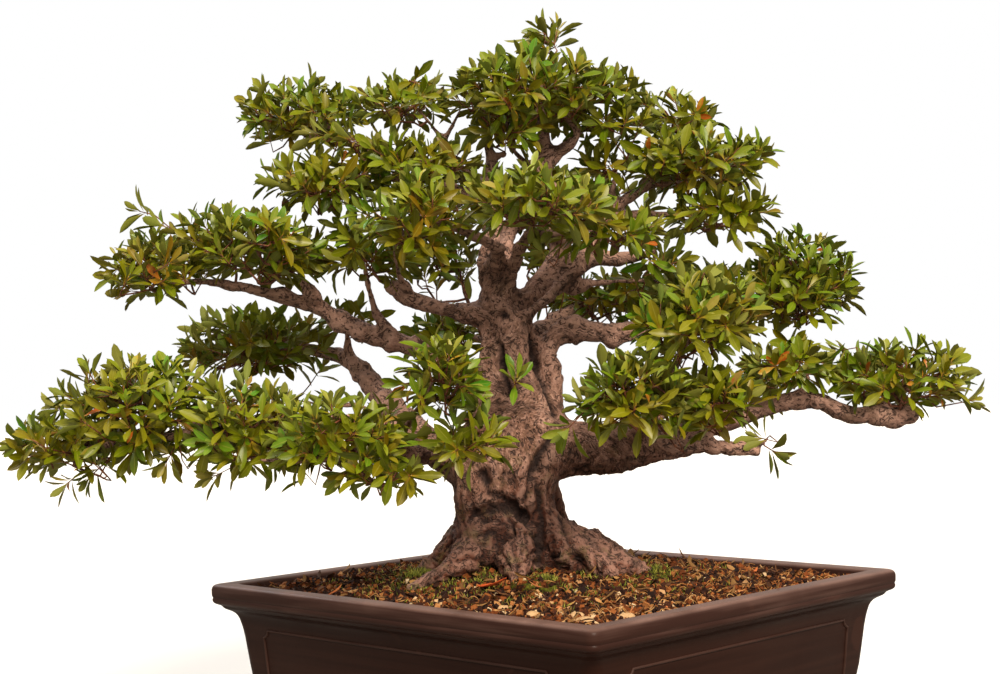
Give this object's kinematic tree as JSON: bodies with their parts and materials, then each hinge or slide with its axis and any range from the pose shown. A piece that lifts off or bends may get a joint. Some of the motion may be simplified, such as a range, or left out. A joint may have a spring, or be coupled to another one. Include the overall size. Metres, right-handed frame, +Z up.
{
  "type": "potted chinzan satsuki azalea bonsai",
  "caption": "Informal upright satsuki azalea bonsai with layered clumps of small pointed leaves, flared roots and a mossy soil bed, in an unglazed rectangular pot on corner feet.",
  "frame": {"origin": "on the ground under the middle of the whole plant's box", "axes": "+Z up; X along the pot's long side and Y along its short side; the tree's front faces about 44 degrees from -Y towards +X, over one corner of the pot"},
  "size_m": [0.64, 0.6712, 0.6629],
  "materials": {
    "stoneware": "unglazed fired stoneware, satin",
    "drain_mesh": "moulded plastic mesh",
    "staple_wire": "annealed bonsai wire",
    "soil_mix": "baked clay granules",
    "moss": "living moss",
    "pebble_stone": "rounded pebble",
    "bark": "flaky azalea bark",
    "foliage": "small leathery leaves",
    "dry_leaf": "dry fallen leaf"
  },
  "bodies": {
    "root": {"drain_screen_1": "drain_mesh", "drain_screen_2": "drain_mesh", "drain_wire_1": "staple_wire", "drain_wire_2": "staple_wire", "fallen_leaf": "dry_leaf", "moss_back": "moss", "moss_front": "moss", "moss_left": "moss", "moss_right": "moss", "moss_rim": "moss", "pebble_1": "pebble_stone", "pebble_2": "pebble_stone", "pebble_3": "pebble_stone", "pebble_4": "pebble_stone", "pebble_5": "pebble_stone", "pebble_6": "pebble_stone", "pot": "stoneware", "shoots_back_centre": "foliage", "shoots_back_left": "foliage", "shoots_back_low": "foliage", "shoots_back_upper": "foliage", "shoots_centre_front": "foliage", "shoots_centre_front_left": "foliage", "shoots_crown": "foliage", "shoots_crown_left": "foliage", "shoots_crown_right": "foliage", "shoots_crown_tip": "foliage", "shoots_front_centre": "foliage", "shoots_front_inner": "foliage", "shoots_front_left": "foliage", "shoots_front_left_low": "foliage", "shoots_front_tip": "foliage", "shoots_inner_right": "foliage", "shoots_left_inner": "foliage", "shoots_left_top": "foliage", "shoots_left_upper": "foliage", "shoots_left_upper_inner": "foliage", "shoots_left_upper_tip": "foliage", "shoots_low_left": "foliage", "shoots_low_left_back": "foliage", "shoots_low_left_inner": "foliage", "shoots_low_left_tip": "foliage", "shoots_mid_left": "foliage", "shoots_mid_left_inner": "foliage", "shoots_mid_left_top": "foliage", "shoots_right_front": "foliage", "shoots_right_front_low": "foliage", "shoots_right_front_top": "foliage", "shoots_right_hanging": "foliage", "shoots_right_inner": "foliage", "shoots_right_low_inner": "foliage", "shoots_right_mid": "foliage", "shoots_right_mid_inner": "foliage", "shoots_right_tip": "foliage", "shoots_right_upper": "foliage", "shoots_right_upper_inner": "foliage", "shoots_right_upper_low": "foliage", "shoots_right_upper_top": "foliage", "soil": "soil_mix", "trunk_and_branches": "bark"}
  },
  "joints": []
}
